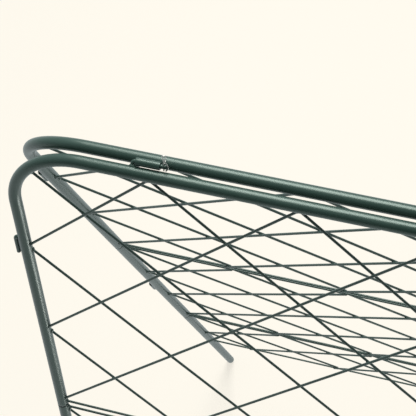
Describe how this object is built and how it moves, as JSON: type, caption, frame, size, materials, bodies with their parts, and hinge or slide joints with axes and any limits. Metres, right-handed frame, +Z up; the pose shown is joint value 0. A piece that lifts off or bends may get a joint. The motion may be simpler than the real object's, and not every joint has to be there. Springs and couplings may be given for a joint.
{
  "type": "a-frame trellis",
  "caption": "Folding A-frame garden trellis: two hinged green tube panels with welded diamond wire nets, in sections that slip together.",
  "frame": {"origin": "on the ground, under the middle of the hinge line, centre of the bottom of the bounding box", "axes": "+Z up, +X along the hinge line and the top bars, -Y towards the front panel"},
  "size_m": [0.9338, 0.7684, 1.6506],
  "materials": {
    "green_paint": "smooth semi-gloss dark green powder coat",
    "green_wire": "semi-gloss dark green powder coat on welded wire",
    "spring_steel": "bright zinc-plated spring wire"
  },
  "bodies": {
    "rear_top": {"rear_hoop": "green_paint", "rear_top_net": "green_wire", "rear_hinge_sleeve": "green_paint", "rear_hinge_pin": "green_paint", "rear_clip": "spring_steel", "rear_upper_hook": "green_paint", "rear_upper_sleeve": "green_paint"},
    "rear_middle": {"rear_middle_leg_left": "green_paint", "rear_middle_leg_right": "green_paint", "rear_middle_net": "green_wire", "rear_lower_hook": "green_paint", "rear_lower_sleeve": "green_paint"},
    "rear_bottom": {"rear_bottom_leg_left": "green_paint", "rear_bottom_leg_right": "green_paint", "rear_bottom_net": "green_wire", "rear_foot_left": "green_paint", "rear_foot_right": "green_paint"},
    "front_top": {"front_hoop": "green_paint", "front_top_net": "green_wire", "front_hinge_sleeve": "green_paint", "front_hinge_pin": "green_paint", "front_clip": "spring_steel", "front_upper_hook": "green_paint", "front_upper_sleeve": "green_paint"},
    "front_middle": {"front_middle_leg_left": "green_paint", "front_middle_leg_right": "green_paint", "front_middle_net": "green_wire", "front_lower_hook": "green_paint", "front_lower_sleeve": "green_paint"},
    "front_bottom": {"front_bottom_leg_left": "green_paint", "front_bottom_leg_right": "green_paint", "front_bottom_net": "green_wire", "front_foot_left": "green_paint", "front_foot_right": "green_paint"}
  },
  "joints": [
    {"name": "fold", "type": "hinge", "parent": "rear_top", "child": "front_top", "pos_m": [0, 0, 1.63355], "axis": [-1, 0, 0], "range_deg": [-25.5, 70]},
    {"name": "front_middle_slip", "type": "slide", "parent": "front_top", "child": "front_middle", "axis": [0, -0.2207, -0.9753], "range_m": [0, 0.04]},
    {"name": "front_bottom_slip", "type": "slide", "parent": "front_middle", "child": "front_bottom", "axis": [0, -0.2207, -0.9753], "range_m": [0, 0.04]},
    {"name": "rear_middle_slip", "type": "slide", "parent": "rear_top", "child": "rear_middle", "axis": [0, 0.2207, -0.9753], "range_m": [0, 0.04]},
    {"name": "rear_bottom_slip", "type": "slide", "parent": "rear_middle", "child": "rear_bottom", "axis": [0, 0.2207, -0.9753], "range_m": [0, 0.04]}
  ]
}
